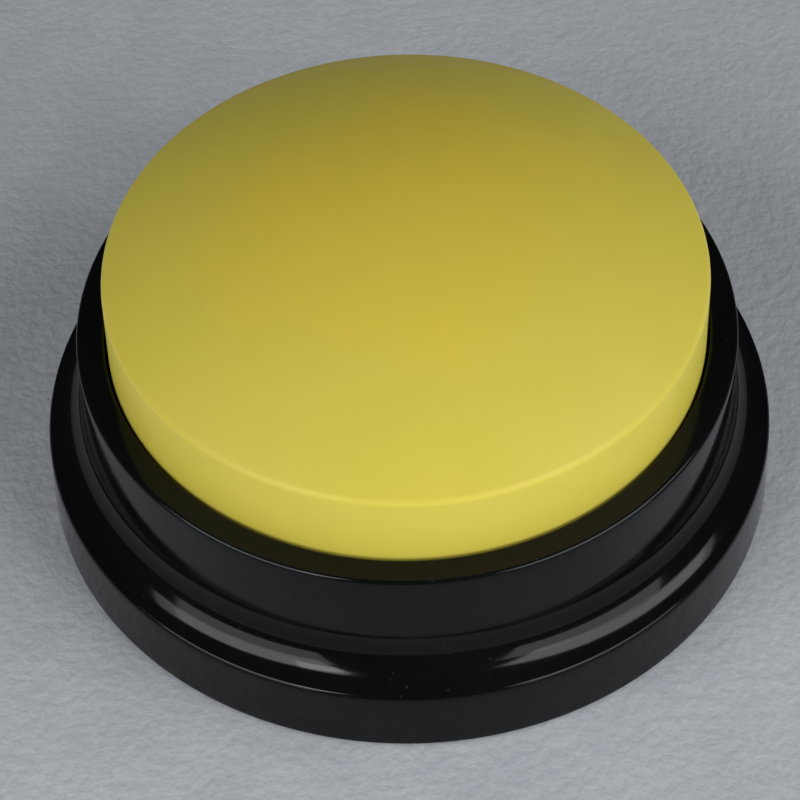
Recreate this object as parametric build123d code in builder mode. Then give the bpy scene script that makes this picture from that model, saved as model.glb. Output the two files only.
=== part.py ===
from build123d import *
import math
import os

# Quiz buzzer: a domed push button in a round housing that stands on a table, with the works inside.
# Millimetres. The origin is the middle of the base where the feet meet the table, +Z is up and the
# player sits on the -Y side.

# ---------------------------------------------------------------- driving dimensions

# housing, outside
base_z = 0.5                    # underside of the housing and of its cover, above the feet
base_radius = 44.5
skirt_radius = 44.3             # at the top of the skirt
skirt_top = 9.4
cove_top = 14.9
collar_radius = 39.65           # at the top of the cove
rim_radius = 39.5
rim_top = 25.0
rim_edge_round = 0.5
opening_edge_round = 0.3
skirt_edge_round = 0.25

# housing, inside
wall = 2.0
opening_radius = 36.15
opening_depth = 4.0
deck_bottom = 14.5
deck_top = 16.5
deck_hole_radius = 5.5

# button cap
cap_gap = 0.35
cap_radius = opening_radius - cap_gap
cap_draft = 0.1                 # the side wall leans in by this much at the top
cap_wall = 2.0
cap_bottom = 20.3
cap_edge_top = 34.4
cap_top = 43.8
cap_edge_round = 1.0
press_travel = 3.5
post_radius = 3.0
rib_reach = 14.0
rib_thickness = 1.2
rib_bottom = 28.0

# hooks that hold the cap down on its springs
hook_count = 4
hook_inner = 31.8
hook_outer = 33.3
hook_barb = 34.8
hook_width = 6.0
hook_bottom = 11.0
hook_play = 0.05
window_inner = 30.6
window_outer = 33.6
window_width = 6.8

# return springs
spring_count = 4
spring_circle = 26.0
spring_radius = 3.4             # middle of the wire
spring_wire = 0.7
spring_turns = 6
spring_seat = 29.0              # underside of the cap's spring bosses
spring_play = 0.03
peg_radius = spring_radius - spring_wire / 2 - 0.5
deck_peg_height = 2.5
cap_peg_length = 3.0
seat_boss_radius = spring_radius + spring_wire / 2 + 0.6
seat_boss_height = 7.9
root_boss_radius = 2.4          # carries the seat boss on up into the dome
root_boss_circle = spring_circle - 1.7
root_boss_height = 8.9

# bottom cover
cover_gap = 0.3
cover_radius = base_radius - 0.1 - wall - cover_gap
cover_top = 2.5
cover_lip_height = 2.0
cover_lip_outer = cover_radius - 0.4
cover_lip_inner = cover_radius - 1.6

# AAA cells and their box
cell_radius = 5.25
cell_length = 44.5
cell_nub_radius = 1.9
cell_nub_length = 0.8
cell_pitch = 11.2
cell_y = -16.4                  # midway between the two cells
cell_z = 8.0
box_length = 50.5
box_width = 22.6
box_corner_radius = 36.3        # the box's corners follow the housing
box_wall = 1.2
box_ceiling = 13.3
plate_thickness = 0.4
plate_size = 8.0
plate_bump = 0.8

# battery door
door_gap = 0.2
door_thickness = 1.8
door_tab_width = 9.0
door_tab_end = 3.5
door_screw_y = -0.6
door_boss_radius = 3.4
door_boss_top = 9.0
tongue_width = 6.0
tongue_x = 12.0
tongue_reach = 1.9              # beyond the opening's front edge
tongue_bottom = 2.7
tongue_top = 3.8
tongue_play = 0.5
grip_groove_count = 4
grip_groove_pitch = 1.6

# loudspeaker
speaker_y = 18.0
speaker_radius = 14.0
speaker_magnet_radius = 6.5
speaker_magnet_top = 8.6
speaker_back = 5.9              # top of the frame, where the magnet stands out of it
speaker_terminal_x = 2.5
speaker_seat_wall = 1.2
grille_hole_radius = 1.0
grille_pitch = 3.4
grille_radius = 10.4

# circuit board
board_bottom = 10.4
board_top = 12.0
board_width = 46.0
board_front = -3.6
board_back = 22.0
board_screw_places = [(x, y) for x in (-19.5, 19.5) for y in (0.5, 18.5)]
board_boss_radius = 3.0
chip_place = (12.0, 3.0)
chip_radius = 4.0
chip_height = 1.2
capacitor_radius = 2.5
capacitor_length = 8.0
capacitor_x = -14.0
capacitor_front = -1.0

# push switch on the board
key_body = 6.0
key_body_height = 3.5
key_plunger_radius = 1.75
key_plunger_top = 17.0
key_travel = 0.25
running_clearance = 0.05

# slide switch for the power
slider_x = -27.5
slider_y = 7.0
slider_travel = 2.0
slider_flange_z = 4.0
slider_screw_spacing = 13.2
slider_flange = 0.6
slider_half_width = 2.0
slider_case_top = 8.4
slider_pin_end = 9.6
slider_pin_pitch = 2.5
slider_slot_half = 2.8          # half the slot's length in the cover
knob_half_width = 1.1
knob_bottom = 0.9

# fasteners and feet
housing_screw_places = [(-35.0, -9.0), (35.0, -9.0), (-22.0, 28.5), (22.0, 28.5)]
foot_places = [(-31.6, -18.3), (31.6, -18.3), (-29.2, 22.0), (29.2, 22.0)]
foot_radius = 4.0
foot_recess = 1.0
boss_radius = 3.2
boss_bore = 1.3
screw_pad = 1.5                 # pads on the cover under the housing's bosses
lead_radius = 0.5
near = 0.01                     # how far from a height an edge may lie to be picked

os.makedirs("parts", exist_ok=True)


# ---------------------------------------------------------------- shared shapes

def tube(radius, bottom, top, place=(0, 0), mode=Mode.ADD):
    """An upright cylinder from one height to another, at one place in plan."""
    with BuildSketch(Plane.XY.offset(bottom)) as disc:
        with Locations(place):
            Circle(radius)
    extrude(disc.sketch, amount=top - bottom, mode=mode)


def block(x0, x1, y0, y1, z0, z1, mode=Mode.ADD):
    """A box between two corners."""
    with Locations(((x0 + x1) / 2, (y0 + y1) / 2, (z0 + z1) / 2)):
        Box(x1 - x0, y1 - y0, z1 - z0, mode=mode)


def edges_at(height):
    """The edges that lie at one height."""
    return edges().filter_by_position(Axis.Z, height - near, height + near)


def cross_recess(span, width, bottom, depth, place, up=True):
    """A cross cut into a screw's head."""
    with BuildSketch(Plane.XY.offset(bottom)) as cross:
        with Locations(place):
            Rectangle(span, width)
            Rectangle(width, span)
    extrude(cross.sketch, amount=depth if up else -depth, mode=Mode.SUBTRACT)


def screw(place, head_radius, head_z, head_height, shank_radius, tip_z):
    """A pan-head screw. Its head's free face is at head_z and its tip at tip_z, above or below."""
    up = tip_z > head_z
    seat = head_z + head_height if up else head_z - head_height
    tube(head_radius, min(head_z, seat), max(head_z, seat), place)
    tube(shank_radius, min(seat, tip_z), max(seat, tip_z), place)
    cross_recess(head_radius * 1.2, head_radius * 0.28, head_z, head_height * 0.6, place, up)


def lead(points, bend):
    """A round insulated lead along straight runs joined by tangent arcs."""
    with BuildLine() as route:
        FilletPolyline(*points, radius=bend)
    start = route.line @ 0
    with BuildSketch(Plane(origin=start, z_dir=route.line % 0)) as section:
        Circle(lead_radius)
    sweep(section.sketch, path=route.line)


def grille_places():
    """Middles of the sound holes: a triangular grid inside a circle."""
    places = []
    for row in range(-3, 4):
        for column in range(-4, 5):
            x = (column + row % 2 / 2) * grille_pitch
            y = row * grille_pitch * math.sqrt(3) / 2
            if math.hypot(x, y) < grille_radius:
                places.append((x, speaker_y + y))
    return places


def box_outline(margin):
    """The battery box in plan, grown or shrunk all round by a margin."""
    with Locations((0, cell_y)):
        Rectangle(box_length + 2 * margin, box_width + 2 * margin)
    Circle(box_corner_radius + margin, mode=Mode.INTERSECT)


# ---------------------------------------------------------------- upper housing

with BuildPart() as upper_housing:
    # outside: skirt, cove, collar and rim
    with BuildSketch(Plane.XZ):
        with BuildLine():
            Polyline((0, rim_top), (0, base_z), (base_radius, base_z), (skirt_radius, skirt_top))
            TangentArc((collar_radius, cove_top), (skirt_radius, skirt_top), tangent=(0, -1))
            Polyline((collar_radius, cove_top), (rim_radius, rim_top), (0, rim_top))
        make_face()
    revolve(axis=Axis.Z)
    # room for the works, under the deck
    with BuildSketch(Plane.XZ):
        with BuildLine():
            inner_skirt = cover_radius + cover_gap
            inner_collar = collar_radius - wall
            Polyline((0, deck_bottom), (0, base_z), (inner_skirt, base_z), (inner_skirt, skirt_top - wall))
            TangentArc((inner_collar, deck_bottom), (inner_skirt, skirt_top - wall), tangent=(0, -1))
            Line((inner_collar, deck_bottom), (0, deck_bottom))
        make_face()
    revolve(axis=Axis.Z, mode=Mode.SUBTRACT)
    # well for the cap, over the deck
    tube(rim_radius - wall, deck_top, rim_top - opening_depth, mode=Mode.SUBTRACT)
    tube(opening_radius, rim_top - opening_depth, rim_top, mode=Mode.SUBTRACT)
    fillet(edges_at(rim_top).sort_by(SortBy.RADIUS)[-1], rim_edge_round)
    fillet(edges_at(rim_top).sort_by(SortBy.RADIUS)[0], opening_edge_round)
    fillet(edges_at(skirt_top).sort_by(SortBy.RADIUS)[-1], skirt_edge_round)
    # bosses for the housing screws and the board
    for place in housing_screw_places:
        boss_foot = cover_top + screw_pad + 0.1
        tube(boss_radius, boss_foot, deck_bottom + 0.5, place)
        tube(boss_bore, boss_foot, deck_bottom, place, Mode.SUBTRACT)
    for place in board_screw_places:
        tube(board_boss_radius, board_top, deck_bottom + 0.5, place)
        tube(1.0, board_top, deck_top - 0.8, place, Mode.SUBTRACT)
    # pegs that centre the return springs
    with BuildSketch(Plane.XY.offset(deck_top)):
        with PolarLocations(spring_circle, spring_count, start_angle=45):
            Circle(peg_radius)
    extrude(amount=deck_peg_height)
    # windows for the cap's hooks, and the hole over the push switch
    with BuildSketch(Plane.XY.offset(deck_bottom)):
        with PolarLocations((window_inner + window_outer) / 2, hook_count):
            Rectangle(window_outer - window_inner, window_width)
        Circle(deck_hole_radius)
    extrude(amount=deck_top - deck_bottom, mode=Mode.SUBTRACT)
upper_housing.part.label = "upper_housing"
export_step(upper_housing.part, "parts/upper_housing.step")


# ---------------------------------------------------------------- button cap

with BuildPart() as button_cap:
    # outside: side wall and dome
    with BuildSketch(Plane.XZ):
        with BuildLine():
            top_radius = cap_radius - cap_draft
            Polyline((0, cap_top), (0, cap_bottom), (cap_radius, cap_bottom), (top_radius, cap_edge_top))
            rise = cap_top - cap_edge_top
            RadiusArc((top_radius, cap_edge_top), (0, cap_top), -(top_radius**2 + rise**2) / (2 * rise))
        make_face()
    revolve(axis=Axis.Z)
    fillet(edges_at(cap_edge_top).sort_by(SortBy.RADIUS)[-1], cap_edge_round)
    # inside: the same form, one wall smaller
    with BuildSketch(Plane.XZ):
        with BuildLine():
            inner_radius = cap_radius - cap_draft - cap_wall
            inner_edge = cap_edge_top - cap_wall
            inner_top = cap_top - cap_wall
            Polyline((0, inner_top), (0, cap_bottom), (inner_radius, cap_bottom), (inner_radius, inner_edge))
            RadiusArc((inner_radius, inner_edge), (0, inner_top),
                      -(inner_radius**2 + rise**2) / (2 * rise))
        make_face()
    revolve(axis=Axis.Z, mode=Mode.SUBTRACT)
    # post that reaches down to the push switch, with four ribs
    post_bottom = key_plunger_top + press_travel - key_travel
    tube(post_radius, post_bottom, inner_top + 0.5)
    rib = rib_thickness / 2
    block(-rib_reach, rib_reach, -rib, rib, rib_bottom, inner_top + 0.2)
    block(-rib, rib, -rib_reach, rib_reach, rib_bottom, inner_top + 0.2)
    # bosses and pegs that hold the springs' upper ends
    with BuildSketch(Plane.XY.offset(spring_seat)):
        with PolarLocations(spring_circle, spring_count, start_angle=45):
            Circle(seat_boss_radius)
    extrude(amount=seat_boss_height)
    with BuildSketch(Plane.XY.offset(spring_seat)):
        with PolarLocations(root_boss_circle, spring_count, start_angle=45):
            Circle(root_boss_radius)
    extrude(amount=root_boss_height)
    with BuildSketch(Plane.XY.offset(spring_seat)):
        with PolarLocations(spring_circle, spring_count, start_angle=45):
            Circle(peg_radius)
    extrude(amount=-cap_peg_length)
    # hooks: a straight leg with a barb that catches under the deck
    with BuildSketch(Plane.XY.offset(hook_bottom)):
        with PolarLocations((hook_inner + hook_outer) / 2, hook_count):
            Rectangle(hook_outer - hook_inner, hook_width)
    extrude(amount=inner_edge + 1.2 - hook_bottom)
    barb_top = deck_bottom - hook_play
    for turn in range(hook_count):
        with BuildSketch(Plane.XZ.rotated((0, 0, 360 / hook_count * turn))):
            Polygon((hook_inner, hook_bottom), (hook_outer, hook_bottom), (hook_barb, barb_top - 1.2),
                    (hook_barb, barb_top), (hook_inner, barb_top), align=None)
        extrude(amount=hook_width / 2, both=True)
button_cap.part.label = "button_cap"
export_step(button_cap.part, "parts/button_cap.step")


# ---------------------------------------------------------------- return springs

spring_bottom = deck_top + spring_wire / 2 + spring_play
spring_height = spring_seat - spring_wire / 2 - spring_play - spring_bottom
for number in range(1, spring_count + 1):
    angle = math.radians(45 + 360 / spring_count * (number - 1))
    centre = (spring_circle * math.cos(angle), spring_circle * math.sin(angle), spring_bottom)
    with BuildPart() as return_spring:
        with BuildLine() as coil:
            Helix(pitch=spring_height / spring_turns, height=spring_height, radius=spring_radius,
                  center=centre)
        with BuildSketch(Plane(origin=coil.line @ 0, z_dir=coil.line % 0)):
            Circle(spring_wire / 2)
        sweep(path=coil.line, is_frenet=True)
    return_spring.part.label = f"return_spring_{number}"
    export_step(return_spring.part, f"parts/return_spring_{number}.step")


# ---------------------------------------------------------------- bottom cover

box_front = cell_y - box_width / 2
box_back = cell_y + box_width / 2

with BuildPart() as bottom_cover:
    tube(cover_radius, base_z, cover_top)
    # low wall that centres the cover in the skirt
    tube(cover_lip_outer, cover_top, cover_top + cover_lip_height)
    tube(cover_lip_inner, cover_top, cover_top + cover_lip_height, mode=Mode.SUBTRACT)
    # battery box, open at the bottom where the door goes
    with BuildSketch(Plane.XY.offset(cover_top)):
        box_outline(box_wall)
    extrude(amount=box_ceiling + 1.0 - cover_top)
    # pad and boss for the door's screw
    pad_half = door_tab_width / 2 + 1.5
    pad_top = cover_top + 2.0
    block(-pad_half, pad_half, box_back, door_tab_end + 1.7, cover_top, pad_top)
    tube(door_boss_radius, pad_top, door_boss_top, (0, door_screw_y))
    with BuildSketch(Plane.XY.offset(base_z)):
        box_outline(0)
    extrude(amount=box_ceiling - base_z, mode=Mode.SUBTRACT)
    # recess for the door's tab, and the screw's hole
    with BuildSketch(Plane.XY.offset(base_z)):
        tab_length = door_tab_end + door_gap - box_back
        with Locations((0, box_back + tab_length / 2)):
            Rectangle(door_tab_width + 2 * door_gap, tab_length)
    extrude(amount=cover_top - base_z, mode=Mode.SUBTRACT)
    tube(1.8, cover_top, door_boss_top - 1.0, (0, door_screw_y), Mode.SUBTRACT)
    # slots for the door's tongues, in the front of the battery box
    for side in (-1, 1):
        slot_half = tongue_width / 2 + tongue_play
        block(side * tongue_x - slot_half, side * tongue_x + slot_half,
              box_front - box_wall, box_front, cover_top, 5.2, Mode.SUBTRACT)
    # slots for the solder tabs of the two end plates
    for y in (cell_y - cell_pitch / 2, cell_y + cell_pitch / 2):
        block(box_length / 2, box_length / 2 + box_wall, y - 1.5, y + 1.5, 8.6, 9.4, Mode.SUBTRACT)
    # ring that seats the loudspeaker, and its sound holes
    seat_radius = speaker_radius + 0.1
    tube(seat_radius + speaker_seat_wall, cover_top, cover_top + 2.0, (0, speaker_y))
    tube(seat_radius, cover_top, cover_top + 2.0, (0, speaker_y), Mode.SUBTRACT)
    with BuildSketch(Plane.XY.offset(base_z)):
        with Locations(*grille_places()):
            Circle(grille_hole_radius)
    extrude(amount=cover_top - base_z, mode=Mode.SUBTRACT)
    # posts and slot for the slide switch
    for end in (-1, 1):
        post = (slider_x, slider_y + end * slider_screw_spacing / 2)
        tube(1.9, cover_top, slider_flange_z, post)
        tube(0.85, 1.4, slider_flange_z, post, Mode.SUBTRACT)
    block(slider_x - 1.4, slider_x + 1.4, slider_y - slider_slot_half, slider_y + slider_slot_half,
          base_z, cover_top, Mode.SUBTRACT)
    # pads and counterbored holes for the housing screws
    for place in housing_screw_places:
        tube(boss_radius, cover_top, cover_top + screw_pad, place)
        tube(1.5, base_z, cover_top + screw_pad, place, Mode.SUBTRACT)
        tube(2.6, base_z, 2.6, place, Mode.SUBTRACT)
    # recesses for the feet
    for place in foot_places:
        tube(foot_radius + 0.1, base_z, base_z + foot_recess, place, Mode.SUBTRACT)
bottom_cover.part.label = "bottom_cover"
export_step(bottom_cover.part, "parts/bottom_cover.step")


# ---------------------------------------------------------------- battery door and its screw

with BuildPart() as battery_door:
    with BuildSketch(Plane.XY.offset(base_z)):
        box_outline(-door_gap)
        with Locations((0, (cell_y + door_tab_end) / 2)):
            Rectangle(door_tab_width, door_tab_end - cell_y)
    extrude(amount=door_thickness)
    # tongues that reach over the cover's edge
    for side in (-1, 1):
        x0 = side * tongue_x - tongue_width / 2
        x1 = side * tongue_x + tongue_width / 2
        tongue_root = box_front + door_gap
        block(x0, x1, tongue_root, tongue_root + 1.2, base_z + door_thickness, tongue_top)
        block(x0, x1, box_front - tongue_reach, tongue_root, tongue_bottom, tongue_top)
    # grip grooves under the thumb
    for row in range(grip_groove_count):
        y = box_back - 2.6 - row * grip_groove_pitch
        block(-7.0, 7.0, y - 0.4, y + 0.4, base_z, base_z + 0.4, Mode.SUBTRACT)
    tube(1.3, base_z, base_z + door_thickness, (0, door_screw_y), Mode.SUBTRACT)
    tube(2.4, base_z, 1.9, (0, door_screw_y), Mode.SUBTRACT)
battery_door.part.label = "battery_door"
export_step(battery_door.part, "parts/battery_door.step")

with BuildPart() as battery_door_screw:
    screw((0, door_screw_y), 2.2, 0.7, 1.2, 1.15, 6.0)
battery_door_screw.part.label = "battery_door_screw"
export_step(battery_door_screw.part, "parts/battery_door_screw.step")


# ---------------------------------------------------------------- feet and fasteners

with BuildPart() as rubber_feet:
    for place in foot_places:
        tube(foot_radius, 0, base_z + foot_recess, place)
    fillet(edges().filter_by_position(Axis.Z, -0.01, 0.01), 0.3)
rubber_feet.part.label = "rubber_feet"
export_step(rubber_feet.part, "parts/rubber_feet.step")

with BuildPart() as housing_screws:
    for place in housing_screw_places:
        screw(place, 2.4, 1.1, 1.5, 1.25, 12.5)
housing_screws.part.label = "housing_screws"
export_step(housing_screws.part, "parts/housing_screws.step")

with BuildPart() as circuit_board_screws:
    for place in board_screw_places:
        screw(place, 1.9, board_bottom - 1.2, 1.2, 0.95, 15.2)
circuit_board_screws.part.label = "circuit_board_screws"
export_step(circuit_board_screws.part, "parts/circuit_board_screws.step")


# ---------------------------------------------------------------- circuit board and what stands on it

with BuildPart() as circuit_board:
    with BuildSketch(Plane.XY.offset(board_bottom)):
        with Locations((0, (board_front + board_back) / 2)):
            RectangleRounded(board_width, board_back - board_front, 1.5)
        with Locations(*board_screw_places):
            Circle(1.1, mode=Mode.SUBTRACT)
    extrude(amount=board_top - board_bottom)
circuit_board.part.label = "circuit_board"
export_step(circuit_board.part, "parts/circuit_board.step")

with BuildPart() as tact_switch_body:
    block(-key_body / 2, key_body / 2, -key_body / 2, key_body / 2, board_top, board_top + key_body_height)
    chamfer(edges().filter_by(Axis.Z), 0.5)
    tube(key_plunger_radius + running_clearance, board_top + 1.0, board_top + key_body_height,
         mode=Mode.SUBTRACT)
tact_switch_body.part.label = "tact_switch_body"
export_step(tact_switch_body.part, "parts/tact_switch_body.step")

with BuildPart() as tact_switch_plunger:
    tube(key_plunger_radius, board_top + 1.5, key_plunger_top)
    fillet(edges_at(key_plunger_top), 0.2)
tact_switch_plunger.part.label = "tact_switch_plunger"
export_step(tact_switch_plunger.part, "parts/tact_switch_plunger.step")

with BuildPart() as sound_chip:
    tube(chip_radius, board_bottom - chip_height, board_bottom, chip_place)
    fillet(edges_at(board_bottom - chip_height), 1.0)
sound_chip.part.label = "sound_chip"
export_step(sound_chip.part, "parts/sound_chip.step")

with BuildPart() as capacitor:
    capacitor_z = board_bottom - capacitor_radius - 0.2
    with BuildSketch(Plane(origin=(capacitor_x, capacitor_front, capacitor_z), z_dir=(0, 1, 0))):
        Circle(capacitor_radius)
    extrude(amount=capacitor_length)
    fillet(edges().filter_by(GeomType.CIRCLE), 0.4)
    # two wires, bent up to the board
    wire_start = capacitor_front + capacitor_length
    for x in (capacitor_x - 1.0, capacitor_x + 1.0):
        block(x - 0.25, x + 0.25, wire_start, wire_start + 1.0, capacitor_z - 0.25, capacitor_z + 0.25)
        block(x - 0.25, x + 0.25, wire_start + 0.5, wire_start + 1.0, capacitor_z + 0.25, board_bottom)
capacitor.part.label = "capacitor"
export_step(capacitor.part, "parts/capacitor.step")


# ---------------------------------------------------------------- loudspeaker

with BuildPart() as speaker_frame:
    with BuildSketch(Plane.XZ.offset(-speaker_y)):
        with BuildLine():
            rim = speaker_radius
            Polyline((rim, cover_top), (rim, 3.5), (12.6, 3.5), (9.0, speaker_back),
                     (speaker_magnet_radius, speaker_back), (speaker_magnet_radius, speaker_back - 0.7),
                     (8.7, speaker_back - 0.7), (12.0, 3.1), (12.0, cover_top), close=True)
        make_face()
    revolve(axis=Axis((0, speaker_y, 0), (0, 0, 1)))
    for x in (-speaker_terminal_x, speaker_terminal_x):
        block(x - 0.9, x + 0.9, speaker_y + 9.6, speaker_y + 12.8, speaker_back - 0.5, speaker_back)
speaker_frame.part.label = "speaker_frame"
export_step(speaker_frame.part, "parts/speaker_frame.step")

with BuildPart() as speaker_cone:
    with BuildSketch(Plane.XZ.offset(-speaker_y)):
        with BuildLine():
            Polyline((11.9, 2.8), (11.9, 3.1), (4.6, 5.0), (0, 5.0), (0, 3.8))
            ThreePointArc((0, 3.8), (2.6, 4.1), (4.6, 4.7))
            Line((4.6, 4.7), (11.9, 2.8))
        make_face()
    revolve(axis=Axis((0, speaker_y, 0), (0, 0, 1)))
speaker_cone.part.label = "speaker_cone"
export_step(speaker_cone.part, "parts/speaker_cone.step")

with BuildPart() as speaker_magnet:
    tube(speaker_magnet_radius - 0.1, speaker_back - 0.7, speaker_magnet_top, (0, speaker_y))
    fillet(edges_at(speaker_magnet_top), 0.5)
speaker_magnet.part.label = "speaker_magnet"
export_step(speaker_magnet.part, "parts/speaker_magnet.step")


# ---------------------------------------------------------------- slide switch

with BuildPart() as slide_switch_body:
    # steel flange over the posts, and the case above it
    left = slider_x - slider_half_width
    right = slider_x + slider_half_width
    flange_top = slider_flange_z + slider_flange
    block(left, right, slider_y - 8.6, slider_y + 8.6, slider_flange_z, flange_top)
    for end in (-1, 1):
        tube(1.0, slider_flange_z, flange_top, (slider_x, slider_y + end * slider_screw_spacing / 2),
             Mode.SUBTRACT)
    block(left, right, slider_y - 4.6, slider_y + 4.6, flange_top, slider_case_top)
    block(slider_x - 1.2, slider_x + 1.2, slider_y - slider_slot_half, slider_y + slider_slot_half,
          slider_flange_z, slider_flange_z + 2.0, Mode.SUBTRACT)
    for y in (slider_y - slider_pin_pitch, slider_y, slider_y + slider_pin_pitch):
        block(slider_x - 0.5, slider_x + 0.5, y - 0.25, y + 0.25, slider_case_top, slider_pin_end)
slide_switch_body.part.label = "slide_switch_body"
export_step(slide_switch_body.part, "parts/slide_switch_body.step")

with BuildPart() as slide_switch_knob:
    knob_y0 = slider_y - 2.6
    knob_y1 = knob_y0 + 5.2 - slider_travel
    knob_left = slider_x - knob_half_width
    knob_right = slider_x + knob_half_width
    block(knob_left, knob_right, knob_y0, knob_y1, knob_bottom, slider_flange_z + 1.8)
    for row in range(3):
        y = knob_y0 + 0.8 * (row + 1)
        block(knob_left, knob_right, y - 0.15, y + 0.15, knob_bottom, knob_bottom + 0.3, Mode.SUBTRACT)
slide_switch_knob.part.label = "slide_switch_knob"
export_step(slide_switch_knob.part, "parts/slide_switch_knob.step")

with BuildPart() as slide_switch_screws:
    for end in (-1, 1):
        head_top = slider_flange_z + slider_flange + 1.0
        screw((slider_x, slider_y + end * slider_screw_spacing / 2), 1.6, head_top, 1.0, 0.8, 1.6)
slide_switch_screws.part.label = "slide_switch_screws"
export_step(slide_switch_screws.part, "parts/slide_switch_screws.step")


# ---------------------------------------------------------------- cells and their contacts

half_box = box_length / 2
spring_space = box_length - 2 * plate_thickness - plate_bump - cell_length

# each cell's plus end points to +X in front and to -X behind
for number, facing in ((1, 1), (2, -1)):
    y = cell_y - facing * cell_pitch / 2
    plus_end = facing * (half_box - plate_thickness - plate_bump)
    with BuildPart() as battery:
        with BuildSketch(Plane(origin=(plus_end, y, cell_z), z_dir=(-facing, 0, 0))):
            Circle(cell_nub_radius)
        extrude(amount=cell_nub_length)
        shoulder = plus_end - facing * cell_nub_length
        with BuildSketch(Plane(origin=(shoulder, y, cell_z), z_dir=(-facing, 0, 0))):
            Circle(cell_radius)
        extrude(amount=cell_length - cell_nub_length)
        fillet(edges().filter_by(GeomType.CIRCLE).filter_by(lambda e: e.radius > 5.0), 0.4)
    battery.part.label = f"battery_{number}"
    export_step(battery.part, f"parts/battery_{number}.step")


def contact_plate(side, y, bump):
    """A plate at one end of the box, with a bump where it meets a plus end."""
    inner = side * (half_box - plate_thickness)
    block(min(inner, side * half_box), max(inner, side * half_box),
          y - plate_size / 2, y + plate_size / 2, cell_z - plate_size / 2, cell_z + plate_size / 2)
    if bump:
        with BuildSketch(Plane(origin=(inner, y, cell_z), z_dir=(-side, 0, 0))) as bump_disc:
            Circle(2.2)
        extrude(bump_disc.sketch, amount=plate_bump)


def solder_tab(y):
    """A tab that goes out through the side of the box."""
    block(half_box, half_box + 2.6, y - 1.2, y + 1.2, 8.8, 9.2)


front_cell = cell_y - cell_pitch / 2
back_cell = cell_y + cell_pitch / 2

with BuildPart() as battery_contact_positive:
    contact_plate(1, front_cell, True)
    solder_tab(front_cell)
battery_contact_positive.part.label = "battery_contact_positive"
export_step(battery_contact_positive.part, "parts/battery_contact_positive.step")

with BuildPart() as battery_contact_negative:
    contact_plate(1, back_cell, False)
    solder_tab(back_cell)
battery_contact_negative.part.label = "battery_contact_negative"
export_step(battery_contact_negative.part, "parts/battery_contact_negative.step")

with BuildPart() as battery_contact_bridge:
    contact_plate(-1, front_cell, False)
    contact_plate(-1, back_cell, True)
    block(-half_box, -half_box + plate_thickness, front_cell, back_cell, cell_z - 1.5, cell_z + 1.5)
battery_contact_bridge.part.label = "battery_contact_bridge"
export_step(battery_contact_bridge.part, "parts/battery_contact_bridge.step")

with BuildPart() as battery_contact_springs:
    for side, y in ((-1, front_cell), (1, back_cell)):
        coil_start = side * (half_box - plate_thickness - 0.3)
        with BuildLine() as coil:
            Helix(pitch=(spring_space - 0.6) / 3, height=spring_space - 0.6, radius=2.8,
                  center=(coil_start, y, cell_z), direction=(-side, 0, 0))
        with BuildSketch(Plane(origin=coil.line @ 0, z_dir=coil.line % 0)):
            Circle(0.25)
        sweep(path=coil.line, is_frenet=True)
battery_contact_springs.part.label = "battery_contact_springs"
export_step(battery_contact_springs.part, "parts/battery_contact_springs.step")


# ---------------------------------------------------------------- leads inside the housing

under_board = board_bottom - lead_radius

with BuildPart() as speaker_leads:
    terminal_y = speaker_y + 11.4
    for x in (-speaker_terminal_x, speaker_terminal_x):
        lead([(x, terminal_y, speaker_back + lead_radius), (x, terminal_y, 9.2), (x, 24.0, 9.2),
              (x, 20.5, under_board)], 1.6)
speaker_leads.part.label = "speaker_leads"
export_step(speaker_leads.part, "parts/speaker_leads.step")

with BuildPart() as battery_leads:
    tab_end = half_box + 2.2
    tab_top = 9.2 + lead_radius
    lead([(tab_end, front_cell, tab_top), (tab_end + 3.0, front_cell + 3.0, tab_top),
          (tab_end + 3.0, -4.0, 8.0), (21.5, 4.0, 8.0), (21.5, 9.0, under_board)], 1.5)
    lead([(tab_end, back_cell, tab_top), (tab_end + 0.8, -1.5, tab_top), (17.5, 7.0, tab_top),
          (17.5, 12.0, under_board)], 2.0)
battery_leads.part.label = "battery_leads"
export_step(battery_leads.part, "parts/battery_leads.step")

with BuildPart() as switch_leads:
    for y in (slider_y, slider_y + slider_pin_pitch):
        lead([(slider_x, y, slider_pin_end), (slider_x, y, 13.0), (-20.5, y, 13.0),
              (-20.5, y, board_top)], 0.9)
switch_leads.part.label = "switch_leads"
export_step(switch_leads.part, "parts/switch_leads.step")
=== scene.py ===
import math

import bpy
import bmesh
from mathutils import Matrix, Vector


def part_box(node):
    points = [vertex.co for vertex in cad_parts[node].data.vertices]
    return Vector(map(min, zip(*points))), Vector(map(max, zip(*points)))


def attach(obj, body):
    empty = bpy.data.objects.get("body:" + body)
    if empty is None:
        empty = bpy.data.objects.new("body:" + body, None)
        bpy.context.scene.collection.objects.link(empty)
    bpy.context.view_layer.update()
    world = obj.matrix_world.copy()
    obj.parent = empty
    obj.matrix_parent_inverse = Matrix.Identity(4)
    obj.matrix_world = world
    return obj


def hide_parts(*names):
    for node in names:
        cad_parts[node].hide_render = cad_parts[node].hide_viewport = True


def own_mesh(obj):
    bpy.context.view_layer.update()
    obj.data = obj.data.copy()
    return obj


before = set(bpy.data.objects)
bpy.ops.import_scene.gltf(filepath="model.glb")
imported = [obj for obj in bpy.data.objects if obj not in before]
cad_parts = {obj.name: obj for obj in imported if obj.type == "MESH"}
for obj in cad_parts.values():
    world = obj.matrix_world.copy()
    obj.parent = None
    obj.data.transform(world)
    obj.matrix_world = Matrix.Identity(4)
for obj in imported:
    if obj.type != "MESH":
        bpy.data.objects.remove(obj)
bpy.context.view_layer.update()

# A quiz buzzer: a domed yellow push cap in a black housing with a collar, a cove and a skirt.
# Metres. The origin is the middle of the base on the table, +Z is up and the player sits at -Y.

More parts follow.
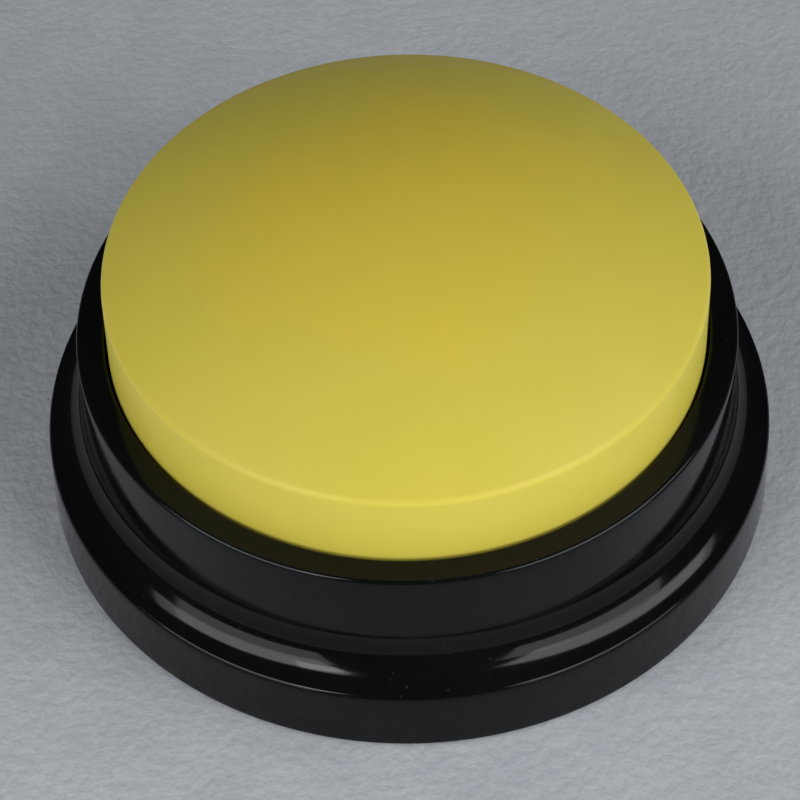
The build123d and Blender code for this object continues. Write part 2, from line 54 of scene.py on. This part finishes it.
MM = 0.001
TURN = 2 * math.pi
SEGMENTS = 256                       # steps round the large turned parts
QUARTERS = (0, 90, 180, 270)         # degrees about Z from +X: right, back, left and front
CORNERS = (45, 135, 225, 315)        # midway between those

CAP_LOW, CAP_HIGH = (Vector(corner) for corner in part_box("button_cap"))
HOUSING_LOW, HOUSING_HIGH = (Vector(corner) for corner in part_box("upper_housing"))

# housing, outside
BASE_Z = HOUSING_LOW.z
BASE_RADIUS = HOUSING_HIGH.x
BASE_ROUND = 0.3 * MM
SKIRT_START = BASE_Z + 0.5 * MM
SKIRT_RADIUS = 44.3 * MM             # at the top of the skirt
SKIRT_TOP = 9.4 * MM
SKIRT_ROUND = 0.7 * MM
COVE_TOP = 14.9 * MM
COLLAR_RADIUS = 39.65 * MM           # at the foot of the collar
RIM_RADIUS = 39.5 * MM
RIM_TOP = HOUSING_HIGH.z
RIM_ROUND = 0.5 * MM
RIM_FLAT_OUTER = RIM_RADIUS - 0.6 * MM
OPENING_RADIUS = 36.15 * MM
OPENING_DEPTH = 4.0 * MM
OPENING_ROUND = 0.3 * MM
RIM_FLAT_INNER = OPENING_RADIUS + 0.4 * MM

# housing, inside
WALL = 2.0 * MM
DECK_TOP = 16.5 * MM
DECK_BOTTOM = 14.5 * MM
DECK_HOLE = 5.5 * MM
SINK = 0.5 * MM                      # how far a post or boss runs into the deck
WINDOW_INNER = 30.6 * MM             # the hooks' windows in the deck
WINDOW_OUTER = 33.6 * MM
WINDOW_HALF_WIDTH = 3.4 * MM
SCREW_BOSS_RADIUS = 3.2 * MM
SCREW_BOSS_BOTTOM = 4.1 * MM
SCREW_BOSS_PLACES = ((-35.0, -9.0), (35.0, -9.0), (-22.0, 28.5), (22.0, 28.5))      # millimetres
BOARD_BOSS_RADIUS = 3.0 * MM
BOARD_BOSS_BOTTOM = 12.0 * MM
BOARD_BOSS_PLACES = ((-19.5, 0.5), (-19.5, 18.5), (19.5, 0.5), (19.5, 18.5))        # millimetres

# cap
CAP_RADIUS = CAP_HIGH.x
CAP_TOP = CAP_HIGH.z
CAP_SKIRT = 20.3 * MM                # lower edge of the side wall
CAP_LIP = 0.25 * MM                  # chamfer on both sides of that edge
CAP_EDGE = 34.4 * MM                 # where the dome would meet the side wall
CAP_LEAN = 0.1 * MM
CAP_ROUND = 1.0 * MM
CAP_WALL = 2.0 * MM
POST_RADIUS = 3.0 * MM               # the post over the push switch
POST_BOTTOM = 20.25 * MM
POST_SINK = 1.5 * MM                 # how far its upper end is below the top of the dome
RIB_START = 1.0 * MM
RIB_REACH = 14.0 * MM
RIB_BOTTOM = 28.0 * MM
RIB_SINK = 1.6 * MM                  # the same for a rib, at its start
RIB_HALF_WIDTH = 0.6 * MM

# hooks under the cap
HOOK_BOTTOM = CAP_LOW.z
HOOK_INNER = 31.8 * MM
HOOK_OUTER = 33.3 * MM
HOOK_BARB = 34.8 * MM
HOOK_BARB_HEIGHT = 1.2 * MM
HOOK_PLAY = 0.05 * MM
HOOK_TOP = CAP_EDGE - 0.8 * MM
HOOK_HALF_WIDTH = 3.0 * MM

# return springs and what holds them
SPRING_CIRCLE = 26.0 * MM
SPRING_TURNS = 6
SPRING_WIRE = 0.35 * MM              # radius of the wire
SPRING_SEAT = 29.0 * MM
PEG_RADIUS = 2.55 * MM
DECK_PEG_HEIGHT = 2.5 * MM
# posts under the cap at each spring: distance from Z, radius, bottom, top
SEAT_BOSS = (SPRING_CIRCLE, 4.35 * MM, SPRING_SEAT, 36.9 * MM)
ROOT_BOSS = (24.3 * MM, 2.4 * MM, SPRING_SEAT, 37.9 * MM)
CAP_PEG = (SPRING_CIRCLE, PEG_RADIUS, 26.0 * MM, 36.0 * MM)


# ---------------------------------------------------------------- shapes

def arc(centre, radius, start, end, steps):
    """Points of an arc in the (radius, height) plane, angles in degrees, both ends included."""
    points = []
    for step in range(steps + 1):
        angle = math.radians(start + (end - start) * step / steps)
        points.append((centre[0] + radius * math.cos(angle), centre[1] + radius * math.sin(angle)))
    return points


def run(start, end, steps):
    """Points along a straight line, both ends included."""
    return [(start[0] + (end[0] - start[0]) * k / steps, start[1] + (end[1] - start[1]) * k / steps)
            for k in range(steps + 1)]


def to_mesh(name, shape):
    """Ends a shape being built and gives its mesh, with all faces turned outward."""
    bmesh.ops.recalc_face_normals(shape, faces=shape.faces)
    mesh = bpy.data.meshes.new(name)
    shape.to_mesh(mesh)
    shape.free()
    return mesh


def finish_mesh(mesh, sharp_degrees=35.0):
    """Smooth shading, with the real edges kept sharp."""
    mesh.polygons.foreach_set("use_smooth", [True] * len(mesh.polygons))
    mesh.set_sharp_from_angle(angle=math.radians(sharp_degrees))


def new_piece(name, mesh, material=None):
    """Puts a mesh in the scene as an object, and gives it the material if there is one."""
    piece = bpy.data.objects.new(name, mesh)
    bpy.context.scene.collection.objects.link(piece)
    if material is not None:
        mesh.materials.clear()
        mesh.materials.append(material)
    return piece


def ring(shape, radius, height, steps, place=(0, 0)):
    """Adds a level ring of vertices round an upright axis at the given place."""
    return [shape.verts.new((place[0] + radius * math.cos(TURN * k / steps),
                             place[1] + radius * math.sin(TURN * k / steps), height)) for k in range(steps)]


def lathe(name, outline, material):
    """Turns a closed outline of (radius, height) points about Z. Points on the axis become one vertex."""
    shape = bmesh.new()
    rings = []
    for radius, height in outline:
        if radius == 0:
            rings.append([shape.verts.new((0, 0, height))] * SEGMENTS)
        else:
            rings.append(ring(shape, radius, height, SEGMENTS))
    for lower, upper in zip(rings, rings[1:] + rings[:1]):
        for k in range(SEGMENTS):
            after = (k + 1) % SEGMENTS
            corners = []
            for vert in (lower[k], lower[after], upper[after], upper[k]):
                if vert not in corners:
                    corners.append(vert)
            if len(corners) > 2:
                shape.faces.new(corners)
    mesh = to_mesh(name, shape)
    finish_mesh(mesh)
    return new_piece(name, mesh, material)


def add_post(shape, place, radius, bottom, top, chamfer=0.0, steps=48):
    """Adds an upright round post, chamfered at its lower end."""
    outline = [(radius, bottom + chamfer), (radius, top)]
    if chamfer > 0:
        outline.insert(0, (radius - chamfer, bottom))
    rings = [ring(shape, across, height, steps, place) for across, height in outline]
    for lower, upper in zip(rings, rings[1:]):
        for k in range(steps):
            shape.faces.new((lower[k], lower[(k + 1) % steps], upper[(k + 1) % steps], upper[k]))
    shape.faces.new(list(reversed(rings[0])))
    shape.faces.new(rings[-1])


def add_prism(shape, profile, half_width, turn):
    """Adds a profile of (radius, height) points, thickened to both sides and turned about Z in degrees."""
    turned = Matrix.Rotation(math.radians(turn), 3, "Z")
    near, far = ([shape.verts.new(turned @ Vector((radius, side, height))) for radius, height in profile]
                 for side in (-half_width, half_width))
    count = len(profile)
    for k in range(count):
        after = (k + 1) % count
        shape.faces.new((near[k], near[after], far[after], far[k]))
    shape.faces.new(list(reversed(near)))
    shape.faces.new(far)


def on_circle(radius, turn):
    """The place on a circle about Z, the turn in degrees from +X."""
    angle = math.radians(turn)
    return (radius * math.cos(angle), radius * math.sin(angle))


def combine(piece, shape, operation):
    """Joins a shape to a piece, or cuts it away, and keeps the result as the piece's mesh."""
    tool_mesh = to_mesh("tool", shape)
    tool = new_piece("tool", tool_mesh)
    modifier = piece.modifiers.new("combine", "BOOLEAN")
    modifier.operation = operation
    modifier.solver = "EXACT"
    modifier.use_self = True
    modifier.object = tool
    evaluated = piece.evaluated_get(bpy.context.evaluated_depsgraph_get())
    result = bpy.data.meshes.new_from_object(evaluated)
    piece.modifiers.clear()
    old = piece.data
    materials = list(old.materials)
    piece.data = result
    result.materials.clear()
    for material in materials:
        result.materials.append(material)
    bpy.data.objects.remove(tool)
    bpy.data.meshes.remove(tool_mesh)
    bpy.data.meshes.remove(old)
    finish_mesh(result)


# ---------------------------------------------------------------- materials

class Nodes:
    """A short way to write a material's node tree."""

    def __init__(self, name):
        self.material = bpy.data.materials.new(name)
        self.material.use_nodes = True
        self.tree = self.material.node_tree
        self.shader = self.tree.nodes["Principled BSDF"]
        self.place = self.add("ShaderNodeTexCoord").outputs["Object"]

    def add(self, kind, inputs=(), **settings):
        node = self.tree.nodes.new(kind)
        for key, value in settings.items():
            setattr(node, key, value)
        for key, value in dict(inputs).items():
            self.put(node.inputs[key], value)
        return node

    def put(self, socket, value):
        if isinstance(value, bpy.types.NodeSocket):
            self.tree.links.new(value, socket)
        else:
            socket.default_value = value

    def set(self, **values):
        for key, value in values.items():
            self.put(self.shader.inputs[key.replace("_", " ")], value)

    def noise(self, scale, detail=3.0, rough=0.5, vector=None):
        inputs = {"Vector": vector or self.place, "Scale": scale, "Detail": detail, "Roughness": rough}
        return self.add("ShaderNodeTexNoise", inputs).outputs["Fac"]

    def math(self, operation, first, second=0.0):
        return self.add("ShaderNodeMath", {0: first, 1: second}, operation=operation).outputs[0]

    def span(self, value, low, high, to_low=0.0, to_high=1.0):
        """Takes low..high smoothly to to_low..to_high, and holds the ends."""
        inputs = {"Value": value, "From Min": low, "From Max": high, "To Min": to_low, "To Max": to_high}
        return self.add("ShaderNodeMapRange", inputs, interpolation_type="SMOOTHSTEP").outputs["Result"]

    def mix(self, factor, first, second):
        """A colour between the first and the second."""
        node = self.add("ShaderNodeMix", data_type="RGBA")
        colours = [socket for socket in node.inputs if socket.type == "RGBA"]
        self.put(node.inputs["Factor"], factor)
        self.put(colours[0], first)
        self.put(colours[1], second)
        return next(socket for socket in node.outputs if socket.type == "RGBA")

    def bump(self, height, strength, distance):
        inputs = {"Height": height, "Strength": strength, "Distance": distance}
        return self.add("ShaderNodeBump", inputs).outputs["Normal"]


def srgb(red, green, blue):
    """A colour from 0-255 screen values to the linear values that shaders take."""
    def linear(value):
        value /= 255
        return value / 12.92 if value <= 0.04045 else ((value + 0.055) / 1.055) ** 2.4
    return (linear(red), linear(green), linear(blue), 1.0)


def cap_plastic():
    """Yellow ABS with painted light: warmer in the middle of the top, greener towards the edge; softly
    glossy, faintly mottled.
    """
    n = Nodes("cap_plastic")
    # painted light: the middle of the top is tinted warmer, as a warm lamp overhead lights it, and the edge
    # greener, as the cooler side windows light it
    across = n.add("ShaderNodeVectorMath", {0: n.place, 1: (1.0, 1.0, 0.0)}, operation="MULTIPLY").outputs[0]
    distance = n.add("ShaderNodeVectorMath", {0: across}, operation="LENGTH").outputs["Value"]
    wander = n.noise(55.0, 3.0)
    reach = n.math("ADD", distance, n.span(wander, 0.3, 0.7, -5 * MM, 5 * MM))
    painted_light_fade = n.span(reach, 13 * MM, 27 * MM)
    tone = n.mix(painted_light_fade, (0.840, 0.640, 0.072, 1), (0.785, 0.655, 0.090, 1))
    cloud = n.span(n.noise(120.0, 4.0), 0.35, 0.65)
    tone = n.mix(n.math("MULTIPLY", cloud, 0.10), tone, (0.680, 0.560, 0.060, 1))
    # a few tiny dark specks in the moulding
    cells = n.add("ShaderNodeTexVoronoi", {"Vector": n.place, "Scale": 38.0, "Randomness": 1.0})
    speck = n.span(cells.outputs["Distance"], 0.008, 0.018, 1.0, 0.0)
    draw = n.add("ShaderNodeSeparateColor", {0: cells.outputs["Color"]}).outputs[0]
    rare = n.math("GREATER_THAN", draw, 0.90)
    tone = n.mix(n.math("MULTIPLY", speck, n.math("MULTIPLY", rare, 0.8)), tone, (0.16, 0.10, 0.02, 1))
    fine = n.noise(2600.0, 2.0)
    smudge = n.span(n.noise(70.0, 5.0, 0.6), 0.3, 0.75)
    roughness = n.math("ADD", n.math("MULTIPLY", smudge, 0.08), 0.36)
    n.set(Base_Color=tone, Roughness=roughness, IOR=1.5, Specular_IOR_Level=0.3,
          Subsurface_Weight=0.06, Subsurface_Scale=0.002, Subsurface_Radius=(1.0, 0.7, 0.2),
          Normal=n.bump(fine, 0.06, 0.02 * MM))
    return n.material


def housing_plastic():
    """Black gloss ABS with a faint flow ripple, haze and dust."""
    n = Nodes("housing_plastic")
    dust = n.span(n.noise(1900.0, 2.0), 0.70, 0.80)
    haze = n.span(n.noise(60.0, 5.0, 0.6), 0.3, 0.75)
    tone = n.mix(n.math("MULTIPLY", haze, 0.5), (0.0026, 0.0030, 0.0030, 1), (0.0048, 0.0054, 0.0056, 1))
    tone = n.mix(n.math("MULTIPLY", dust, 0.10), tone, (0.16, 0.16, 0.16, 1))
    roughness = n.math("ADD", n.math("MULTIPLY", haze, 0.05), 0.07)
    roughness = n.math("ADD", roughness, n.math("MULTIPLY", dust, 0.2))
    ripple = n.noise(260.0, 2.0)
    n.set(Base_Color=tone, Roughness=roughness, IOR=1.5, Specular_IOR_Level=0.18,
          Normal=n.bump(ripple, 0.12, 0.05 * MM))
    return n.material


def plain_plastic(name, colour, roughness, grain=1500.0, depth=0.02):
    """Moulded plastic with a fine even grain."""
    n = Nodes(name)
    patch = n.span(n.noise(90.0, 4.0), 0.3, 0.7)
    tone = n.mix(n.math("MULTIPLY", patch, 0.25), colour, tuple(c * 1.35 for c in colour[:3]) + (1.0,))
    n.set(Base_Color=tone, Roughness=n.math("ADD", n.math("MULTIPLY", patch, 0.08), roughness),
          Normal=n.bump(n.noise(grain, 2.0), 0.35, depth * MM))
    return n.material


def metal(name, colour, roughness, streak=(900.0, 900.0, 60.0)):
    """Drawn or plated metal with streaks along one direction."""
    n = Nodes(name)
    stretched = n.add("ShaderNodeMapping", {"Vector": n.place, "Scale": streak}).outputs["Vector"]
    grain = n.noise(1.0, 3.0, vector=stretched)
    tone = n.mix(n.span(grain, 0.3, 0.7), colour, tuple(c * 0.8 for c in colour[:3]) + (1.0,))
    n.set(Base_Color=tone, Metallic=1.0, Roughness=n.span(grain, 0.3, 0.7, roughness, roughness + 0.12))
    return n.material


# ---------------------------------------------------------------- the cap

def cap_outline():
    """Section of the cap's shell: up its side and over the dome, then back underneath to its lower edge."""
    edge_radius = CAP_RADIUS - CAP_LEAN
    rise = CAP_TOP - CAP_EDGE
    dome = (edge_radius ** 2 + rise ** 2) / (2 * rise)
    middle = CAP_TOP - dome
    # the rounded edge touches both the side wall and the dome
    corner_x = edge_radius - CAP_ROUND
    corner_z = middle + math.sqrt((dome - CAP_ROUND) ** 2 - corner_x ** 2)
    tilt = math.degrees(math.acos(corner_x / (dome - CAP_ROUND)))
    outline = run((CAP_RADIUS, CAP_SKIRT + CAP_LIP), (edge_radius, corner_z), 10)
    outline += arc((corner_x, corner_z), CAP_ROUND, 0, tilt, 12)[1:]
    outline += arc((0, middle), dome, tilt, 90, 40)[1:-1]
    outline += [(0, CAP_TOP), (0, CAP_TOP - CAP_WALL)]
    inner_radius = edge_radius - CAP_WALL
    inner_dome = dome - CAP_WALL
    inner_tilt = math.degrees(math.acos(inner_radius / inner_dome))
    outline += arc((0, middle), inner_dome, 90, inner_tilt, 16)[1:]
    outline += [(inner_radius, CAP_SKIRT + CAP_LIP), (inner_radius + CAP_LIP, CAP_SKIRT),
                (CAP_RADIUS - CAP_LIP, CAP_SKIRT)]
    return outline


def cap_fittings():
    """What hangs inside the cap: the post over the switch, its ribs, the spring seats and the hooks."""
    shape = bmesh.new()
    add_post(shape, (0, 0), POST_RADIUS, POST_BOTTOM, CAP_TOP - POST_SINK, chamfer=0.4 * MM)
    rib = [(RIB_START, RIB_BOTTOM), (RIB_REACH - MM, RIB_BOTTOM), (RIB_REACH, RIB_BOTTOM + MM),
           (RIB_REACH, CAP_TOP - RIB_SINK - MM), (RIB_START, CAP_TOP - RIB_SINK)]
    barb_top = DECK_BOTTOM - HOOK_PLAY
    hook = [(HOOK_INNER, HOOK_BOTTOM), (HOOK_OUTER, HOOK_BOTTOM), (HOOK_BARB, barb_top - HOOK_BARB_HEIGHT),
            (HOOK_BARB, barb_top), (HOOK_OUTER, barb_top), (HOOK_OUTER, HOOK_TOP), (HOOK_INNER, HOOK_TOP)]
    for quarter, corner in zip(QUARTERS, CORNERS):
        add_prism(shape, rib, RIB_HALF_WIDTH, quarter)
        add_prism(shape, hook, HOOK_HALF_WIDTH, quarter)
        for reach, radius, bottom, top in (SEAT_BOSS, ROOT_BOSS, CAP_PEG):
            add_post(shape, on_circle(reach, corner), radius, bottom, top, chamfer=0.3 * MM)
    return shape


# ---------------------------------------------------------------- the housing

def housing_outline():
    """Section of the housing: from the base up its outside, over the rim and down the inside."""
    across = SKIRT_RADIUS - COLLAR_RADIUS
    drop = COVE_TOP - SKIRT_TOP
    cove = (across ** 2 + drop ** 2) / (2 * across)
    cove_end = 180 + math.degrees(math.asin(drop / cove))
    # the arcs of rounded edges stop a little short of the stretches beside them
    outline = [(BASE_RADIUS - BASE_ROUND, BASE_Z)]
    outline += arc((BASE_RADIUS - BASE_ROUND, BASE_Z + BASE_ROUND), BASE_ROUND, -70, 0, 4)
    outline += run((BASE_RADIUS, SKIRT_START), (SKIRT_RADIUS, SKIRT_TOP - SKIRT_ROUND), 8)
    outline += arc((SKIRT_RADIUS - SKIRT_ROUND, SKIRT_TOP - SKIRT_ROUND * 0.9), SKIRT_ROUND, 15, 80, 6)
    outline += arc((COLLAR_RADIUS + cove, COVE_TOP), cove, cove_end - 2.5, 180, 32)
    outline += run((COLLAR_RADIUS, COVE_TOP), (RIM_RADIUS, RIM_TOP - RIM_ROUND), 8)[1:]
    outline += arc((RIM_RADIUS - RIM_ROUND, RIM_TOP - RIM_ROUND), RIM_ROUND, 10, 90, 8)
    outline += run((RIM_FLAT_OUTER, RIM_TOP), (RIM_FLAT_INNER, RIM_TOP), 4)
    outline += arc((OPENING_RADIUS + OPENING_ROUND, RIM_TOP - OPENING_ROUND), OPENING_ROUND, 90, 180, 5)
    ledge = RIM_TOP - OPENING_DEPTH
    inner_collar = COLLAR_RADIUS - WALL
    outline += [(OPENING_RADIUS, ledge), (RIM_RADIUS - WALL, ledge), (RIM_RADIUS - WALL, DECK_TOP),
                (DECK_HOLE, DECK_TOP), (DECK_HOLE, DECK_BOTTOM), (inner_collar, DECK_BOTTOM)]
    inner_skirt = BASE_RADIUS - WALL - 0.1 * MM
    reach = inner_skirt - inner_collar
    fall = DECK_BOTTOM - (SKIRT_TOP - WALL)
    inner_cove = (reach ** 2 + fall ** 2) / (2 * reach)
    inner_end = 180 + math.degrees(math.asin(fall / inner_cove))
    outline += arc((inner_collar + inner_cove, DECK_BOTTOM), inner_cove, 180, inner_end, 10)[1:]
    outline += [(inner_skirt, BASE_Z)]
    return outline


def housing_cuts():
    """The windows in the deck that the cap's hooks go through."""
    shape = bmesh.new()
    low, high = DECK_BOTTOM - MM, DECK_TOP + MM
    window = [(WINDOW_INNER, low), (WINDOW_OUTER, low), (WINDOW_OUTER, high), (WINDOW_INNER, high)]
    for quarter in QUARTERS:
        add_prism(shape, window, WINDOW_HALF_WIDTH, quarter)
    return shape


def housing_fittings():
    """Pegs for the springs on the deck, and bosses for the housing's and the board's screws under it."""
    shape = bmesh.new()
    for corner in CORNERS:
        place = on_circle(SPRING_CIRCLE, corner)
        add_post(shape, place, PEG_RADIUS, DECK_TOP - SINK, DECK_TOP + DECK_PEG_HEIGHT)
    for places, radius, bottom in ((SCREW_BOSS_PLACES, SCREW_BOSS_RADIUS, SCREW_BOSS_BOTTOM),
                                   (BOARD_BOSS_PLACES, BOARD_BOSS_RADIUS, BOARD_BOSS_BOTTOM)):
        for x, y in places:
            add_post(shape, (x * MM, y * MM), radius, bottom, DECK_BOTTOM + SINK)
    return shape


# ---------------------------------------------------------------- build

YELLOW = cap_plastic()
BLACK = housing_plastic()

cap = lathe("cap_shell", cap_outline(), YELLOW)
combine(cap, cap_fittings(), "UNION")
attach(cap, "button")
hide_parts("button_cap")

housing = lathe("housing_shell", housing_outline(), BLACK)
combine(housing, housing_cuts(), "DIFFERENCE")
combine(housing, housing_fittings(), "UNION")
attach(housing, "base")
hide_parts("upper_housing")


# ---------------------------------------------------------------- springs

def coil(name, node, material):
    """A return spring: a closed first and last turn, open turns between, on the CAD spring's axis."""
    low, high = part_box(node)
    middle = ((low.x + high.x) / 2, (low.y + high.y) / 2)
    radius = (high.x - low.x) / 2 - SPRING_WIRE
    bottom = DECK_TOP + SPRING_WIRE
    height = high.z - low.z - 2 * SPRING_WIRE
    steps_per_turn, wire_sides = 28, 10
    total = SPRING_TURNS + 1
    shape = bmesh.new()
    rings = []
    for step in range(total * steps_per_turn + 1):
        turn = step / steps_per_turn
        share = min(max((turn - 0.5) / (total - 1), 0.0), 1.0)
        outward = Vector((math.cos(TURN * turn), math.sin(TURN * turn), 0))
        centre = Vector((middle[0], middle[1], bottom + height * share)) + outward * radius
        section = []
        for side in range(wire_sides):
            angle = TURN * side / wire_sides
            direction = outward * math.cos(angle) + Vector((0, 0, 1)) * math.sin(angle)
            section.append(shape.verts.new(centre + direction * SPRING_WIRE))
        rings.append(section)
    for first, second in zip(rings, rings[1:]):
        for side in range(wire_sides):
            after = (side + 1) % wire_sides
            shape.faces.new((first[side], first[after], second[after], second[side]))
    shape.faces.new(rings[0])
    shape.faces.new(rings[-1])
    mesh = to_mesh(name, shape)
    finish_mesh(mesh, sharp_degrees=60.0)
    spring = new_piece(name, mesh, material)
    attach(spring, "base")
    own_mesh(spring)
    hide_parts(node)


STEEL = metal("drawn_steel", (0.56, 0.56, 0.57, 1), 0.22)
for number in range(1, 5):
    coil(f"spring_{number}", f"return_spring_{number}", STEEL)


# ---------------------------------------------------------------- finishes of the CAD parts

def cell_jacket():
    """A plain cell along X: a dark sleeve with a copper-coloured band near each end, then bare steel."""
    n = Nodes("cell_jacket")
    along = n.add("ShaderNodeSeparateXYZ", {0: n.place}).outputs["X"]
    sleeve_middle, sleeve_half, band_start = 1.8 * MM, 21.6 * MM, 14.0 * MM
    inside = n.math("LESS_THAN", n.math("ABSOLUTE", n.math("ADD", along, -sleeve_middle)), sleeve_half)
    band = n.math("GREATER_THAN", n.math("ABSOLUTE", along), band_start)
    scuff = n.span(n.noise(220.0, 4.0, 0.65), 0.45, 0.75)
    sleeve = n.mix(band, (0.015, 0.020, 0.035, 1), (0.45, 0.20, 0.07, 1))
    n.set(Base_Color=n.mix(inside, (0.6, 0.6, 0.6, 1), sleeve), Metallic=0.6,
          Roughness=n.math("ADD", n.math("MULTIPLY", scuff, 0.2), 0.25))
    return n.material


FINISHES = {
    "bottom_cover": plain_plastic("cover_plastic", (0.016, 0.016, 0.017, 1), 0.42),
    "battery_door": plain_plastic("door_plastic", (0.018, 0.018, 0.019, 1), 0.45),
    "rubber_feet": plain_plastic("foot_rubber", (0.022, 0.022, 0.022, 1), 0.75, 900.0, 0.04),
    "slide_switch_knob": plain_plastic("knob_plastic", (0.05, 0.05, 0.05, 1), 0.4),
    "tact_switch_body": plain_plastic("key_plastic", (0.02, 0.02, 0.02, 1), 0.4),
    "tact_switch_plunger": plain_plastic("plunger_plastic", (0.03, 0.03, 0.03, 1), 0.35),
    "circuit_board": plain_plastic("solder_mask", (0.02, 0.12, 0.045, 1), 0.3),
    "sound_chip": plain_plastic("chip_resin", (0.012, 0.012, 0.012, 1), 0.25),
    "capacitor": plain_plastic("capacitor_sleeve", (0.02, 0.03, 0.07, 1), 0.3),
    "speaker_cone": plain_plastic("speaker_paper", (0.03, 0.03, 0.03, 1), 0.85, 600.0, 0.06),
    "speaker_magnet": plain_plastic("ferrite", (0.06, 0.06, 0.065, 1), 0.6, 500.0, 0.04),
    "speaker_frame": metal("pressed_steel", (0.50, 0.50, 0.51, 1), 0.35),
    "battery_1": cell_jacket(),
    "speaker_leads": plain_plastic("lead_insulation", (0.30, 0.02, 0.02, 1), 0.45),
}
FINISHES["battery_2"] = FINISHES["battery_1"]
for lead_node in ("battery_leads", "switch_leads"):
    FINISHES[lead_node] = FINISHES["speaker_leads"]
PLATED = metal("plated_steel", (0.62, 0.62, 0.63, 1), 0.25, (60.0, 900.0, 900.0))
for steel_node in ("battery_door_screw", "housing_screws", "circuit_board_screws", "slide_switch_screws",
                   "slide_switch_body", "battery_contact_positive", "battery_contact_negative",
                   "battery_contact_bridge", "battery_contact_springs"):
    FINISHES[steel_node] = PLATED

for node, material in FINISHES.items():
    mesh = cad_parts[node].data
    mesh.materials.clear()
    mesh.materials.append(material)


# ---------------------------------------------------------------- floor, light and camera

def floor():
    """A sheet of pale blue-grey paper, mottled by its fibres."""
    n = Nodes("paper_floor")
    flock = n.span(n.noise(130.0, 5.0, 0.65), 0.3, 0.7)
    fibre = n.span(n.noise(700.0, 3.0), 0.3, 0.7)
    tone = n.mix(flock, srgb(200, 202, 206), srgb(209, 211, 214))
    tone = n.mix(n.math("MULTIPLY", fibre, 0.25), tone, srgb(190, 193, 199))
    speckle = n.span(n.noise(1500.0, 2.0), 0.35, 0.65)
    tone = n.mix(n.math("MULTIPLY", speckle, 0.22), tone, srgb(178, 184, 196))
    n.set(Base_Color=tone, Roughness=0.9, Normal=n.bump(fibre, 0.4, 0.15 * MM))
    size = 1.2
    mesh = bpy.data.meshes.new("paper")
    corners = [(-size, -size, 0), (size, -size, 0), (size, size, 0), (-size, size, 0)]
    mesh.from_pydata(corners, [], [(0, 1, 2, 3)])
    sheet = new_piece("paper", mesh, n.material)


def lamp(name, azimuth, elevation, distance, width, height, power, piece=None, link="INCLUDE"):
    """A soft box aimed at the cap, at an azimuth from the front, positive to the right.

    With a piece it lights that piece alone, or everything but that piece with link EXCLUDE.
    """
    light = bpy.data.lights.new(name, "AREA")
    light.shape = "RECTANGLE"
    light.size = width
    light.size_y = height
    light.energy = power
    light.color = (0.96, 0.98, 1.0)
    lamp_object = bpy.data.objects.new(name, light)
    bpy.context.scene.collection.objects.link(lamp_object)
    turn, rise = math.radians(azimuth), math.radians(elevation)
    direction = Vector((math.sin(turn) * math.cos(rise), -math.cos(turn) * math.cos(rise), math.sin(rise)))
    target = Vector((0, 0, 0.02))
    lamp_object.location = target + direction * distance
    lamp_object.rotation_euler = direction.to_track_quat("Z", "Y").to_euler()
    if piece is not None:
        receivers = bpy.data.collections.new(name)
        receivers.objects.link(piece)
        receivers.collection_objects[0].light_linking.link_state = link
        lamp_object.light_linking.receiver_collection = receivers


def studio():
    """Two windows in front, a little light from behind and from the room, and what only some pieces see."""
    world = bpy.data.worlds.new("studio")
    world.use_nodes = True
    background = world.node_tree.nodes["Background"]
    background.inputs["Color"].default_value = (0.85, 0.92, 1.0, 1.0)
    background.inputs["Strength"].default_value = 0.02
    bpy.context.scene.world = world
    lamp("window_right", 66, 44, 0.90, 0.90, 0.34, 2.9)
    lamp("window_left", -54, 42, 0.90, 0.75, 0.32, 2.3)
    lamp("back_glow", 180, 70, 0.90, 0.50, 0.30, 0.1)
    # broad low light on the cap and the paper, kept out of the housing's gloss
    lamp("wall_right", 48, 16, 0.95, 0.80, 0.45, 4.2, housing, "EXCLUDE")
    lamp("wall_left", -42, 14, 0.95, 0.80, 0.45, 3.1, housing, "EXCLUDE")
    # panes and sills that light only the housing, for the windows' reflections in its gloss
    lamp("pane_right", 64, 45, 0.90, 0.84, 0.26, 2.0, housing)
    lamp("pane_left", -50, 44, 0.90, 0.66, 0.24, 1.6, housing)
    lamp("pane_left_near", -30, 46, 0.90, 0.16, 0.20, 0.6, housing)
    lamp("sill_right", 50, 25, 0.90, 0.72, 0.36, 2.4, housing)
    lamp("sill_left", -48, 25, 0.90, 0.68, 0.36, 2.1, housing)


def camera():
    """Looks down on the buzzer from the player's side."""
    eye = Vector((-1.1 * MM, -249.7 * MM, 306.3 * MM))
    target = Vector((-1.07 * MM, 7.94 * MM, 0.5 * MM))
    roll = math.radians(-1.638)
    data = bpy.data.cameras.new("camera")
    data.sensor_width = 36.0
    data.lens = 141.7
    data.clip_start = 0.01
    camera_object = bpy.data.objects.new("camera", data)
    bpy.context.scene.collection.objects.link(camera_object)
    back = (eye - target).normalized()
    right = Vector((0, 0, 1)).cross(back).normalized()
    up = back.cross(right)
    turned_right = right * math.cos(roll) + up * math.sin(roll)
    turned_up = up * math.cos(roll) - right * math.sin(roll)
    matrix = Matrix((turned_right, turned_up, back)).transposed().to_4x4()
    matrix.translation = eye
    camera_object.matrix_world = matrix
    bpy.context.scene.camera = camera_object


floor()
studio()
camera()
bpy.context.scene.view_settings.view_transform = "Standard"
